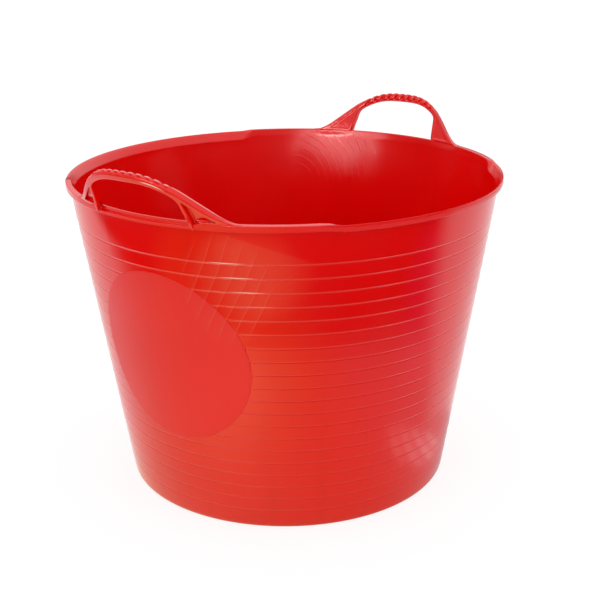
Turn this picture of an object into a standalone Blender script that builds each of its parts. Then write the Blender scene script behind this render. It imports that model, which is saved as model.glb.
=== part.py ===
"""Flexible tub: a tapered, ledged wall on a flat base, with pouring lips and two handles.

The origin is the centre of the underside. +Z is up, the front handle is at -Y and the
back handle at +Y. Sizes are in metres, written as millimetres times MM.
"""

from math import atan, cos, pi, radians, sin, sqrt, tau

import bmesh
import bpy
from mathutils import Vector

MM = 0.001

# Overall sizes
TUB_HEIGHT = 330.0 * MM  # underside to the top of the rim under the handles
MOUTH_RADIUS = 222.0 * MM  # outside of the wall where the rim begins
FOOT_RADIUS = 174.0 * MM  # outside of the wall just above the bottom corner
WALL_THICKNESS = 3.0 * MM
FLOOR_THICKNESS = 4.0 * MM
FIT_GAP = 0.3 * MM  # between two features that touch
TURN_STEPS = 48

# Bottom corner and the height at which base and wall part
CORNER_RADIUS = 6.0 * MM
INNER_CORNER_RADIUS = 4.0 * MM
PAN_HEIGHT = 20.0 * MM

# Ledges round the outside of the wall
LEDGE_START = 22.7 * MM
LEDGE_PITCH = 14.17 * MM
LEDGE_STEP = 0.7 * MM
LEDGE_DROP = 0.35 * MM
LEDGE_CLEAR = 14.0 * MM  # plain wall kept under the rim

# Smooth round panel on the wall under the front handle
PANEL_RADIUS = 89.0 * MM
PANEL_BELOW_RIM = 44.0 * MM
PANEL_PROUD = 0.25 * MM
PANEL_SIDES = 48

# Rim
RIM_DEPTH = 13.0 * MM  # from the rim's top down to the wall's top
RIM_FLARE = 0.8 * MM
BAND_DEPTH = 5.4 * MM  # how far the rim stands out from the wall
BAND_HEIGHT = 6.5 * MM
EDGE_ROUND = 0.5 * MM
LIP_DROP = 3.3 * MM  # the pouring lips lie lower than the handle rims
LIP_STAND = 1.0 * MM
LIP_GROOVE = 0.7 * MM
GROOVE_BELOW_TOP = 2.2 * MM
GROOVE_HALF = 0.6 * MM
THIN_EDGE = 3.5 * MM  # thickness of the rim's edge inside the finger notch
NOTCH_DROP = 3.8 * MM
RIB_PROUD = 1.3 * MM
BORDER_ANGLE = radians(47.5)  # from a handle's middle to the end of its rim
BORDER_BLEND = radians(4.0)
SECTOR_STEP = radians(5.0)

# Handles, in terms of the distance across from the middle and the height above the rim
HANDLE_OUTSET = 3.2 * MM  # from the wall's outside to the middle of a leg
HANDLE_LEAN = 0.5  # outward travel for each unit of height
HANDLE_RISE = 43.8 * MM
HANDLE_REACH = 100.8 * MM  # from the middle to where a leg has run out into the rim
ARCH_POWER = 1.48
TAIL_END = 0.93  # share of the reach at which a leg's tail is cut off
HANDLE_DEPTH = 7.0 * MM
LEAN_START = 12.0 * MM  # height over which the section turns into the lean
OPENING_HALF_WIDTH = 55.4 * MM
OPENING_TAPER = 4.3 * MM
OPENING_CORNER = 4.0 * MM
GRIP_THICKNESS = 8.5 * MM
GRIP_END_THICKNESS = 6.7 * MM
RIB_COUNT = 11
RIB_DEPTH = 1.5 * MM
GRIP_SIDES = 12

# Webbed legs
RIB_THICKNESS = 4.0 * MM
FLANGE_THICKNESS = 4.5 * MM
WEB_THICKNESS = 3.0 * MM
WEB_SILL = 1.8 * MM
LEG_STEP = 4.5 * MM

# Flexing feet of the legs and the line about which a handle bends
ROOT_HEIGHT = 12.0 * MM
HINGE_HEIGHT = 7.0 * MM

WALL_TOP = TUB_HEIGHT - RIM_DEPTH
RIM_SEAT = WALL_TOP + FIT_GAP
HANDLE_RADIUS = MOUTH_RADIUS + HANDLE_OUTSET
GRIP_HALF = OPENING_HALF_WIDTH - OPENING_TAPER - OPENING_CORNER


def clear_scene():
    for obj in list(bpy.data.objects):
        bpy.data.objects.remove(obj, do_unlink=True)


def new_collection(name):
    collection = bpy.data.collections.new(name)
    bpy.context.scene.collection.children.link(collection)
    return collection


def red_plastic(name, colour=(0.68, 0.02, 0.012), roughness=0.38):
    material = bpy.data.materials.new(name)
    material.use_nodes = True
    shader = material.node_tree.nodes["Principled BSDF"]
    shader.inputs["Base Color"].default_value = (*colour, 1.0)
    shader.inputs["Roughness"].default_value = roughness
    shader.inputs["Metallic"].default_value = 0.0
    return material


def add_object(name, mesh, collection, parent=None):
    obj = bpy.data.objects.new(name, mesh)
    collection.objects.link(obj)
    obj.parent = parent
    return obj


def add_piece(name, mesh, parent=None):
    """One named sub-part with a material of its own."""
    obj = add_object(name, mesh, PARTS, parent)
    if not mesh.materials:
        mesh.materials.append(None)
    obj.material_slots[0].link = "OBJECT"
    obj.material_slots[0].material = red_plastic(name + "_plastic")
    return obj


def add_cutter(name, mesh):
    obj = add_object(name, mesh, CUTTERS)
    obj.hide_render = True
    obj.display_type = "WIRE"
    return obj


def add_empty(name, location, turn=0.0):
    obj = add_object(name, None, PARTS)
    obj.location = location
    obj.rotation_euler = (0.0, 0.0, turn)
    obj.empty_display_size = 20.0 * MM
    return obj


def between(start, end, share):
    return start + (end - start) * share


def arc(centre_x, centre_z, radius, start, end, steps):
    """Points of an arc in the XZ plane, its angles in degrees."""
    turns = [radians(between(start, end, k / steps)) for k in range(steps + 1)]
    return [(centre_x + radius * cos(a), centre_z + radius * sin(a)) for a in turns]


def turned(name, profile, closed, make=add_piece):
    """Turn an (x, z) profile about Z. It runs down its outer side."""
    mesh = bpy.data.meshes.new(name)
    points = [(x, 0.0, z) for x, z in profile]
    edges = [(k, k + 1) for k in range(len(points) - 1)]
    if closed:
        edges.append((len(points) - 1, 0))
    mesh.from_pydata(points, edges, [])
    obj = make(name, mesh)
    screw = obj.modifiers.new("Turn", "SCREW")
    screw.axis = "Z"
    screw.angle = tau
    screw.steps = TURN_STEPS
    screw.render_steps = TURN_STEPS
    screw.use_merge_vertices = True
    screw.merge_threshold = 0.0001
    screw.use_smooth_shade = True
    return obj


def boolean(obj, cutter, operation):
    modifier = obj.modifiers.new(cutter.name, "BOOLEAN")
    modifier.operation = operation
    modifier.object = cutter
    return modifier


def applied_mesh(obj, name):
    """The object's evaluated mesh, welded, with the object itself removed."""
    bpy.context.view_layer.update()
    depsgraph = bpy.context.evaluated_depsgraph_get()
    mesh = bpy.data.meshes.new_from_object(obj.evaluated_get(depsgraph))
    mesh.name = name
    data = obj.data
    bpy.data.objects.remove(obj, do_unlink=True)
    if isinstance(data, bpy.types.Curve):
        bpy.data.curves.remove(data)
    body = bmesh.new()
    body.from_mesh(mesh)
    bmesh.ops.remove_doubles(body, verts=body.verts, dist=0.00001)
    body.to_mesh(mesh)
    body.free()
    return mesh


def loft(name, rings):
    """A closed body through rings of equal point count, with flat ends."""
    mesh = bpy.data.meshes.new(name)
    body = bmesh.new()
    loops = [[body.verts.new(point) for point in ring] for ring in rings]
    for lower, upper in zip(loops, loops[1:]):
        for k in range(len(lower)):
            after = (k + 1) % len(lower)
            body.faces.new((lower[k], lower[after], upper[after], upper[k]))
    body.faces.new(loops[0][::-1])
    body.faces.new(loops[-1])
    bmesh.ops.recalc_face_normals(body, faces=body.faces)
    body.to_mesh(mesh)
    body.free()
    mesh.shade_smooth()
    mesh.set_sharp_from_angle(angle=radians(35.0))
    return mesh


def wall_radius(height):
    """Outside of the wall at a height, midway between a ledge's two sides."""
    share = (height - CORNER_RADIUS) / (WALL_TOP - CORNER_RADIUS)
    return between(FOOT_RADIUS, MOUTH_RADIUS, share)


def build_base_pan():
    floor_edge = wall_radius(FLOOR_THICKNESS) - WALL_THICKNESS - INNER_CORNER_RADIUS
    profile = [(0.0, FLOOR_THICKNESS)]
    profile += arc(floor_edge, FLOOR_THICKNESS + INNER_CORNER_RADIUS, INNER_CORNER_RADIUS, -90, 0, 3)
    profile.append((wall_radius(PAN_HEIGHT) - WALL_THICKNESS, PAN_HEIGHT))
    profile.append((wall_radius(PAN_HEIGHT), PAN_HEIGHT))
    profile += arc(FOOT_RADIUS - CORNER_RADIUS, CORNER_RADIUS, CORNER_RADIUS, 0, -90, 4)
    profile.append((0.0, 0.0))
    return turned("base_pan", profile, closed=False)


def ledge_heights():
    """Heights of the ledges' lower edges, bottom to top."""
    heights = []
    height = LEDGE_START
    while height < WALL_TOP - LEDGE_CLEAR:
        heights.append(height)
        height += LEDGE_PITCH
    return heights


def build_tub_wall():
    bottom = PAN_HEIGHT + FIT_GAP
    profile = [(MOUTH_RADIUS, WALL_TOP)]
    for height in reversed(ledge_heights()):
        profile.append((wall_radius(height) + LEDGE_STEP / 2, height))
        profile.append((wall_radius(height) - LEDGE_STEP / 2, height - LEDGE_DROP))
    profile.append((wall_radius(bottom), bottom))
    profile.append((wall_radius(bottom) - WALL_THICKNESS, bottom))
    profile.append((MOUTH_RADIUS - WALL_THICKNESS, WALL_TOP))
    wall = turned("tub_wall", profile, closed=True)
    boolean(wall, build_panel_pad(), "UNION")
    return wall


def build_panel_pad():
    """The smooth panel: a slice of a plain cone inside a round outline seen from the front."""
    middle = WALL_TOP - PANEL_BELOW_RIM - PANEL_RADIUS
    half = PANEL_RADIUS + PANEL_PROUD
    outset = LEDGE_STEP / 2 + PANEL_PROUD
    top, bottom = middle + half, middle - half
    profile = [
        (wall_radius(top) + outset, top),
        (wall_radius(bottom) + outset, bottom),
        (wall_radius(bottom) - WALL_THICKNESS / 2, bottom),
        (wall_radius(top) - WALL_THICKNESS / 2, top),
    ]
    pad = turned("panel_pad", profile, closed=True, make=add_cutter)
    reach = MOUTH_RADIUS
    bpy.ops.mesh.primitive_cylinder_add(vertices=PANEL_SIDES, radius=PANEL_RADIUS, depth=reach)
    outline = bpy.context.object
    outline.name = "panel_outline"
    outline.location = (0.0, -0.65 * reach - reach / 2, middle)
    outline.rotation_euler = (pi / 2, 0.0, 0.0)
    outline.hide_render = True
    outline.display_type = "WIRE"
    for collection in list(outline.users_collection):
        collection.objects.unlink(outline)
    CUTTERS.objects.link(outline)
    boolean(pad, outline, "INTERSECT")
    return pad


def rim_section(shape):
    """The rim's outline as (radius, height): full, rib, notch or lip, all with the same points."""
    inside = MOUTH_RADIUS - WALL_THICKNESS
    top = TUB_HEIGHT - (LIP_DROP if shape == "lip" else 0.0)
    face = MOUTH_RADIUS + BAND_DEPTH + (RIB_PROUD if shape == "rib" else 0.0)
    band_low = top - BAND_HEIGHT
    crest = inside + RIM_FLARE + THIN_EDGE
    under = between(MOUTH_RADIUS, MOUTH_RADIUS + RIM_FLARE, (band_low - RIM_SEAT) / RIM_DEPTH)
    if shape == "lip":
        foot = (inside, RIM_SEAT + LIP_STAND)
        edge = (face - EDGE_ROUND, top)
        shares = (0.0, 0.2, 0.4, 0.6, 0.8, 0.94)
        inner = [(between(foot[0], edge[0], s), between(foot[1], edge[1], s)) for s in shares]
        inner.append(edge)
        groove = LIP_GROOVE
    else:
        inner = [
            (inside + RIM_FLARE / 2, (RIM_SEAT + top) / 2),
            (inside + RIM_FLARE, top - EDGE_ROUND),
            (inside + RIM_FLARE + EDGE_ROUND, top),
            (crest - EDGE_ROUND, top),
        ]
        inner += [(between(crest, face, s), top) for s in (0.0, 0.5)]
        inner.append((face - EDGE_ROUND, top))
        groove = 0.0
    shoulder = top - EDGE_ROUND
    groove_rows = [top - GROOVE_BELOW_TOP + side * GROOVE_HALF for side in (1, 0, -1)]
    if shape == "notch":
        step = top - NOTCH_DROP
        shoulder = step - EDGE_ROUND
        inner[4] = (crest, top - EDGE_ROUND)
        inner[5] = (crest, step)
        inner[6] = (face - EDGE_ROUND, step)
        low = band_low + EDGE_ROUND
        groove_rows = [between(shoulder, low, share) for share in (0.25, 0.5, 0.75)]
    points = [(inside, RIM_SEAT)] + inner
    points.append((face, shoulder))
    points.append((face, groove_rows[0]))
    points.append((face - groove, groove_rows[1]))
    points.append((face, groove_rows[2]))
    points.append((face, band_low + EDGE_ROUND))
    points.append((face - EDGE_ROUND, band_low))
    points.append((under, band_low))
    points.append((MOUTH_RADIUS, RIM_SEAT))
    return points


def blended(first, second, share):
    return [
        (between(a[0], b[0], share), between(a[1], b[1], share)) for a, b in zip(first, second)
    ]


def rim_sector(name, stations):
    """Sweep sections round Z. A station is (angle from -Y, section)."""
    rings = []
    for angle, section in stations:
        rings.append([Vector((r * sin(angle), -r * cos(angle), z)) for r, z in section])
    return loft(name, rings)


def even_angles(start, end):
    steps = max(1, round((end - start) / SECTOR_STEP))
    return [between(start, end, k / steps) for k in range(steps + 1)]


def handle_rim_mesh():
    """The rim under a handle: full width, with the finger notch between the legs."""
    full, rib, notch = (rim_section(shape) for shape in ("full", "rib", "notch"))
    halfway = blended(full, rim_section("lip"), 0.5)
    gap_angle = FIT_GAP / MOUTH_RADIUS
    notch_end = OPENING_HALF_WIDTH / HANDLE_RADIUS
    rib_end = (OPENING_HALF_WIDTH + RIB_THICKNESS) / HANDLE_RADIUS
    half = [(0.0, notch)]
    half += [(angle, notch) for angle in even_angles(0.0, notch_end - gap_angle)[1:]]
    half.append((notch_end + gap_angle / 2, rib))
    half.append((rib_end - gap_angle, rib))
    half.append((rib_end + gap_angle, full))
    plain_end = BORDER_ANGLE - BORDER_BLEND / 2
    half += [(angle, full) for angle in even_angles(rib_end + gap_angle, plain_end)[1:]]
    half.append((BORDER_ANGLE - gap_angle / 2, halfway))
    other = [(-angle, section) for angle, section in reversed(half[1:])]
    return rim_sector("handle_rim", other + half)


def pouring_lip_mesh():
    """The flared rim at +X, between the two handle rims."""
    lip = rim_section("lip")
    halfway = blended(rim_section("full"), lip, 0.5)
    gap_angle = FIT_GAP / MOUTH_RADIUS
    start, end = BORDER_ANGLE, pi - BORDER_ANGLE
    stations = [(start + gap_angle / 2, halfway)]
    plain = even_angles(start + BORDER_BLEND / 2, end - BORDER_BLEND / 2)
    stations += [(angle, lip) for angle in plain]
    stations.append((end - gap_angle / 2, halfway))
    return rim_sector("pouring_lip", stations)


def arch_height(across):
    """Top of a handle above the rim, at a distance across from its middle."""
    share = min(abs(across) / HANDLE_REACH, 1.0)
    return HANDLE_RISE / 2 * (1.0 + cos(pi * share ** ARCH_POWER))


def grip_thickness(across):
    return between(GRIP_THICKNESS, GRIP_END_THICKNESS, (across / GRIP_HALF) ** 2)


def bend_to_rim(across, height, depth):
    """Place a point of the unrolled front handle: along the rim, above it, and outward."""
    turn = across / HANDLE_RADIUS
    tilt = atan(HANDLE_LEAN) * min(max(height / LEAN_START, 0.0), 1.0)
    outward = HANDLE_RADIUS * cos(turn) + HANDLE_LEAN * height + depth * cos(tilt)
    return Vector((HANDLE_RADIUS * sin(turn), -outward, TUB_HEIGHT + height - depth * sin(tilt)))


def bend_mesh(mesh):
    for vertex in mesh.vertices:
        vertex.co = bend_to_rim(*vertex.co)
    mesh.update()


def hinge_point():
    """The middle of the line about which the front handle bends."""
    foot_middle = (OPENING_HALF_WIDTH + leg_width_end()) / 2
    outward = HANDLE_RADIUS * cos(foot_middle / HANDLE_RADIUS) + HANDLE_LEAN * HINGE_HEIGHT
    return Vector((0.0, -outward, TUB_HEIGHT + HINGE_HEIGHT))


def find_across(function, level, start, end):
    """Where a falling function of the distance across reaches a level."""
    for _ in range(40):
        middle = (start + end) / 2
        if function(middle) > level:
            start = middle
        else:
            end = middle
    return start


def leg_width_end():
    return find_across(arch_height, ROOT_HEIGHT, OPENING_HALF_WIDTH / 2, HANDLE_REACH)


def grip_mesh():
    """The hand grip: a rounded bar with finger ribs on its top and inner side."""
    pitch = 2 * (GRIP_HALF - FIT_GAP / 2) / RIB_COUNT
    start = -(GRIP_HALF - FIT_GAP / 2)
    rings = []
    for rib in range(RIB_COUNT):
        for share, depth in ((0.0, 1.0), (0.25, 0.15), (0.5, 0.0), (0.75, 0.15)):
            rings.append(grip_ring(start + (rib + share) * pitch, depth * RIB_DEPTH))
    rings.append(grip_ring(-start, RIB_DEPTH))
    return loft("grip", rings)


def grip_ring(across, sunk):
    """One section of the grip, its ribbed side drawn in by the depth sunk."""
    thickness = grip_thickness(across)
    middle = arch_height(across) - thickness / 2
    ring = []
    for k in range(GRIP_SIDES):
        turn = tau * k / GRIP_SIDES
        ribbed = max(0.0, cos(turn - radians(130.0))) ** 0.5
        side = cos(turn) * (HANDLE_DEPTH / 2 - sunk * ribbed)
        rise = sin(turn) * (thickness / 2 - sunk * ribbed)
        ring.append(bend_to_rim(across, middle + rise, side))
    return ring


def plate(name, outline, thickness, offset=0.0):
    """A flat plate in (across, height), its thickness along depth."""
    curve = bpy.data.curves.new(name, "CURVE")
    curve.dimensions = "2D"
    curve.fill_mode = "BOTH"
    curve.extrude = thickness / 2
    spline = curve.splines.new("POLY")
    spline.points.add(len(outline) - 1)
    for point, (across, height) in zip(spline.points, outline):
        point.co = (across, height, 0.0, 1.0)
    spline.use_cyclic_u = True
    obj = add_object(name, curve, CUTTERS)
    mesh = applied_mesh(obj, name)
    body = bmesh.new()
    body.from_mesh(mesh)
    bmesh.ops.translate(body, verts=body.verts, vec=(0.0, 0.0, offset))
    bmesh.ops.recalc_face_normals(body, faces=body.faces)
    body.to_mesh(mesh)
    body.free()
    return mesh


def opening_side(height):
    """Distance across to the opening's side edge, at a height above the rim."""
    full_taper_height = arch_height(GRIP_HALF) - grip_thickness(GRIP_HALF)
    return OPENING_HALF_WIDTH - OPENING_TAPER * height / full_taper_height


def flange_inside(across):
    """Underside of the leg's outer flange above the rim."""
    slope = (arch_height(across + MM) - arch_height(across - MM)) / (2 * MM)
    return arch_height(across) - FLANGE_THICKNESS * sqrt(1.0 + slope * slope)


def leg_outline():
    """A whole leg with its root and tail, on the side where across is positive."""
    start = GRIP_HALF + FIT_GAP / 2
    corner_height = arch_height(start) - grip_thickness(GRIP_HALF)
    side_height = corner_height - OPENING_CORNER
    corner = (opening_side(corner_height), corner_height)
    first = (start, corner_height)
    last = (opening_side(side_height), side_height)
    outline = [first]
    for share in (0.35, 0.7):
        first_leg = [between(a, b, share) for a, b in zip(first, corner)]
        second_leg = [between(a, b, share) for a, b in zip(corner, last)]
        outline.append(tuple(between(a, b, share) for a, b in zip(first_leg, second_leg)))
    outline.append(last)
    outline.append((opening_side(FIT_GAP), FIT_GAP))
    tail = TAIL_END * HANDLE_REACH
    outline.append((tail, FIT_GAP))
    steps = max(2, round((tail - start) / LEG_STEP))
    for k in range(steps + 1):
        across = between(tail, start, k / steps)
        outline.append((across, arch_height(across)))
    return outline


def pocket_outline():
    """The recess between a leg's inner rib, its outer flange and the rim."""
    def rib_line(height):
        return opening_side(height) + RIB_THICKNESS

    low, high = WEB_SILL, HANDLE_RISE
    for _ in range(40):
        middle = (low + high) / 2
        if flange_inside(rib_line(middle)) > middle:
            low = middle
        else:
            high = middle
    top = (rib_line(low), low)
    right = find_across(flange_inside, WEB_SILL, rib_line(WEB_SILL), HANDLE_REACH)
    outline = [(rib_line(WEB_SILL), WEB_SILL), (right, WEB_SILL)]
    steps = 4
    for k in range(1, steps):
        across = between(right, top[0], k / steps)
        outline.append((across, flange_inside(across)))
    outline.append(top)
    return outline


def whole_leg_mesh():
    """A leg in unrolled form, with a recess in each face."""
    leg = add_object("leg_blank", plate("leg_blank", leg_outline(), HANDLE_DEPTH), CUTTERS)
    recess = HANDLE_DEPTH - WEB_THICKNESS
    pockets = []
    for side in (1, -1):
        offset = side * HANDLE_DEPTH / 2
        mesh = plate("leg_pocket", pocket_outline(), recess, offset)
        pocket = add_cutter("leg_pocket", mesh)
        boolean(leg, pocket, "DIFFERENCE")
        pockets.append(pocket)
    mesh = applied_mesh(leg, "whole_leg")
    for pocket in pockets:
        bpy.data.objects.remove(pocket, do_unlink=True)
    return mesh


def cut_level(mesh, name, level, keep_above):
    """The part of an unrolled leg above or below a level, closed again at the cut."""
    body = bmesh.new()
    body.from_mesh(mesh)
    geometry = body.verts[:] + body.edges[:] + body.faces[:]
    bmesh.ops.bisect_plane(
        body,
        geom=geometry,
        plane_co=(0.0, level, 0.0),
        plane_no=(0.0, 1.0, 0.0),
        clear_inner=keep_above,
        clear_outer=not keep_above,
    )
    rims = [edge for edge in body.edges if edge.is_boundary]
    bmesh.ops.holes_fill(body, edges=rims, sides=0)
    bmesh.ops.recalc_face_normals(body, faces=body.faces)
    piece = bpy.data.meshes.new(name)
    body.to_mesh(piece)
    body.free()
    return piece


def mirrored(mesh, name):
    """The same unrolled piece for the other side of the handle."""
    body = bmesh.new()
    body.from_mesh(mesh)
    bmesh.ops.scale(body, verts=body.verts, vec=(-1.0, 1.0, 1.0))
    bmesh.ops.reverse_faces(body, faces=body.faces)
    other = bpy.data.meshes.new(name)
    body.to_mesh(other)
    body.free()
    return other


def leg_and_root_meshes():
    """Bent meshes of both legs and both roots, by name."""
    whole = whole_leg_mesh()
    leg = cut_level(whole, "leg_right", ROOT_HEIGHT + FIT_GAP / 2, keep_above=True)
    root = cut_level(whole, "root_right", ROOT_HEIGHT - FIT_GAP / 2, keep_above=False)
    meshes = {
        "leg_left": mirrored(leg, "leg_left"),
        "leg_right": leg,
        "root_left": mirrored(root, "root_left"),
        "root_right": root,
    }
    for mesh in meshes.values():
        bend_mesh(mesh)
    bpy.data.meshes.remove(whole)
    return meshes


def build_rim():
    handle_rim = handle_rim_mesh()
    lip = pouring_lip_mesh()
    half_turned = add_empty("back_side", (0.0, 0.0, 0.0), pi)
    add_piece("handle_rim_front", handle_rim)
    add_piece("handle_rim_back", handle_rim, half_turned)
    add_piece("pouring_lip_right", lip)
    add_piece("pouring_lip_left", lip, half_turned)
    return half_turned


def build_handles(half_turned):
    meshes = leg_and_root_meshes()
    meshes["grip"] = grip_mesh()
    pivot = hinge_point()
    for name, mesh in meshes.items():
        if not name.startswith("root"):
            for vertex in mesh.vertices:
                vertex.co -= pivot
    front = add_empty("front_handle_hinge", pivot)
    back = add_empty("back_handle_hinge", (0.0, -pivot.y, pivot.z), pi)
    for side, hinge, fixed in (("front", front, None), ("back", back, half_turned)):
        for name, mesh in meshes.items():
            parent = fixed if name.startswith("root") else hinge
            add_piece(side + "_" + name, mesh, parent)


clear_scene()
PARTS = new_collection("flexible_tub")
CUTTERS = new_collection("cutters")
build_base_pan()
build_tub_wall()
build_handles(build_rim())
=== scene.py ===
"""Looks of the flexible tub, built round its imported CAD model.

The tub is one moulding of soft red plastic. Here its wall, base and rim are one continuous
mesh, and each handle is one more, moulded with fillets, ribs and pockets.
"""

import math

import bmesh
import bpy
import numpy as np
from mathutils import Matrix, Vector


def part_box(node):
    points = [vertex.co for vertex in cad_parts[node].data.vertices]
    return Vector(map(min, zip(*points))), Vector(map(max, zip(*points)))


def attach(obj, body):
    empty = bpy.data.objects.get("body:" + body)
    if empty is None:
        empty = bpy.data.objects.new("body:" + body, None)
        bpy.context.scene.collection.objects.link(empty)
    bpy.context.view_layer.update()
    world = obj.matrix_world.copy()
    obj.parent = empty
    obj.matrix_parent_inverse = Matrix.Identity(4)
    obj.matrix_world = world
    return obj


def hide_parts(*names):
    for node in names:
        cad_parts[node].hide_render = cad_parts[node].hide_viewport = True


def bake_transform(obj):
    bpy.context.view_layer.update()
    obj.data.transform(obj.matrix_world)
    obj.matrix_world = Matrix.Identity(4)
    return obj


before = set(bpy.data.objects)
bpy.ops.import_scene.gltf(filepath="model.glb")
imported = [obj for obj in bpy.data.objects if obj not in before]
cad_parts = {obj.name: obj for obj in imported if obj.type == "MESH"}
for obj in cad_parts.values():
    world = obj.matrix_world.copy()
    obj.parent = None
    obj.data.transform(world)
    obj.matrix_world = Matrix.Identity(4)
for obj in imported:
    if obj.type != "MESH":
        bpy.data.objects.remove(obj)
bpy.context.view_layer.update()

MM = 0.001
IMAGE_SIZE = 600

# Camera, fitted to the outlines of the rim, wall, base and handles
CAMERA_AZIMUTH = math.radians(35.77)
CAMERA_ELEVATION = 0.3425
CAMERA_ROLL = -0.0134
CAMERA_DISTANCE = 1.2861
CAMERA_TARGET = Vector((0.0, 0.0, 0.170))
CAMERA_CENTRE = (286.39, 311.66)  # where the lens axis meets the image
FOCAL_LENGTH = 1171.16  # in the same pixels
SENSOR_WIDTH = 36.0

# Tub sizes read from the frame
RIM_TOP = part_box("handle_rim_front")[1].z
LIP_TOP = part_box("pouring_lip_right")[1].z
BAND_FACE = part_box("pouring_lip_right")[1].x
WALL_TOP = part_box("tub_wall")[1].z
MOUTH_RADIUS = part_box("tub_wall")[1].x
PAN_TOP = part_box("base_pan")[1].z
PAN_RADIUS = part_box("base_pan")[1].x

# Tub sizes that the source of the CAD model names too
WALL_THICKNESS = 3.0 * MM
FLOOR_THICKNESS = 4.0 * MM
CORNER_RADIUS = 6.0 * MM
INNER_CORNER_RADIUS = 4.0 * MM
LEDGE_START = 22.7 * MM
LEDGE_PITCH = 14.17 * MM
LEDGE_STEP = 0.7 * MM
LEDGE_CLEAR = 14.0 * MM
LEDGE_UNDERSIDE = 1.3 * MM
LEDGE_OUT = 0.42 * MM
LEDGE_IN = 0.36 * MM
LEDGE_ROUND = 0.3 * MM
PANEL_RADIUS = 89.0 * MM
PANEL_BELOW_RIM = 44.0 * MM
PANEL_PROUD = 0.25 * MM
BAND_HEIGHT = 6.5 * MM

# Shape of the rim's section
SUPPORT = 0.4 * MM  # how far a rounding's holding points stand from its ends
ROUND_SHARE = 0.42  # the most of a side that a rounding takes
HOLD_SHARE = 0.49  # and the most that it takes with its holding point
TINY = 1e-9
FOOT_SHARE = 0.35  # how much of its flare the rim has halfway up
RIM_FLARE = 2.4 * MM
ROLLED_FLARE = 3.7 * MM  # where a leg of a handle runs into the rim
ROLLED_ANGLE = math.radians(20.5)
ROLLED_HALF_ANGLE = math.radians(6.2)
ROLLED_FADE = (0.4, 1.0)  # as shares of that half angle
THIN_EDGE = 2.4 * MM
CROWN = 0.6 * MM  # how far the rim's top falls to its outer edge
CROWN_START = 0.4 * MM  # how far past its thin edge the top begins to fall
CROWN_START_SHARE = 0.15
FOOT_ROUND = 2.0 * MM
EDGE_ROUND = 1.2 * MM
CREST_ROUND = 0.7 * MM
STEP_ROUND = 0.5 * MM
BAND_ROUND = 0.8 * MM
LEAST_ROUND = 0.1 * MM
NOTCH_DROP = 3.8 * MM
NOTCH_MARGIN = 1.2  # how far a notch runs past the opening above it, in millimetres
NOTCH_BLEND = 0.002  # in radians
LIP_FOOT_OUT = 0.1 * MM
LIP_STAND = 2.0 * MM
LIP_EDGE_IN = 0.3 * MM
LIP_SHARES = ((0.2, 0.24, 6), (0.5, 0.58, 3), (0.75, 0.83, 3))  # outward, upward, steps
LIP_EDGE_ROUND = 0.6 * MM
LIP_GROOVE = 0.7 * MM
GROOVE_BELOW_TOP = 2.2 * MM
GROOVE_HALF = 0.6 * MM
GROOVE_EDGE_ROUND = 0.2 * MM
GROOVE_ROUND = 0.3 * MM
BAND_FOOT_OUT = 0.3 * MM
BAND_FOOT_DROP = 0.4 * MM
BORDER_ANGLE = math.radians(47.5)
BORDER_BLEND = math.radians(4.0)

# The soft wall is drawn in a little below the back handle
DENT_DEPTH = 4.5 * MM
DENT_LOW = 190.0 * MM
DENT_MIDDLE = 266.0 * MM
DENT_HIGH = 328.0 * MM
DENT_ANGLE = math.radians(200.0)
DENT_HALF_ANGLE = math.radians(32.0)
DENT_FADE = (0.25, 1.0)  # as shares of that half angle

# Where the tub's section has points besides its corners, as shares of each stretch
FLOOR_SHARES = (0.08, 0.2, 0.36, 0.55, 0.74, 0.9)
INNER_WALL_SHARES = (0.15, 0.3, 0.45, 0.6, 0.72, 0.8, 0.85, 0.88, 0.91, 0.94, 0.96, 0.98, 1.0)
UNDERSIDE_SHARES = (0.9, 0.7, 0.5, 0.3, 0.1)
BELOW_RIM = 6.0 * MM
# How far the wall stands off its line at some distances below a ledge's foot, in millimetres
LEDGE_RELIEF = ((0.5, -0.07), (1.0, -0.05), (2.0, -0.02), (4.2, 0.05), (8.0, 0.2))

# Stations round the tub
STATION_DEGREES = 2.0
NOTCH_STATIONS = (-1.5, -0.5, 0.5, 1.5)  # thousandths of a radian from a notch's end
BORDER_STATIONS = (1 / 8, 3 / 8, 5 / 8, 7 / 8)
LEAST_TURN = 0.0015  # in radians, below which a station is left out

# The round panel's mesh
PANEL_SPOKES = 144
PANEL_FRONT_RINGS = 24
PANEL_BACK_RINGS = 12
PANEL_FLAT_SHARE = 0.985
PANEL_EDGE = ((0.35, 0.02), (0.12, 0.14), (0.0, 0.36))  # inward and down, in millimetres

# Handle sizes in millimetres
OUTSET = 3.2
LEAN = 0.5
RISE = 43.8
REACH = 100.8
ARCH_POWER = 1.48
HALF_DEPTH = 3.5
LEAN_START = 12.0
OPENING_HALF = 55.4
OPENING_TAPER = 4.3
OPENING_SIDE_HEIGHT = 26.7
GRIP_THICKNESS = 8.5
GRIP_END_THICKNESS = 6.7
GRIP_HALF = 47.1
RIB_COUNT = 11
RIB_DEPTH = 2.3
SIDE_RIB = 3.6
FLANGE = 4.5
OPENING_ROUND = 2.4
GRIP_CREASE = 2.9
HALF_WEB = 1.1
WEB_MIDDLE = -1.7  # the web lies nearer to the inside
WEB_SILL = 1.8
SPUR_LENGTH = 7.6
SPUR_HEIGHT = 15.0
SPUR_PROUD = 2.2
SUNK = 1.0  # how far the legs reach into the rim
SPUR_TIP_HALF = 0.8
LEG_SPREAD = (68.0, 96.0)  # where along a leg its outer face runs out to the rim's band
OUTLINE_ROUND = 0.5
LEG_ROUND = 1.3
GRIP_ROUND = 3.0
GRIP_END_FADE = (-4.0, 8.0)  # from the grip's end
CREASE_ROUND = 0.5
CREASE_CLEAR = 6.0  # how far the crease stands clear of the legs
POCKET_END_ROUND = 1.2
POCKET_SILL_ROUND = 1.0
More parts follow.
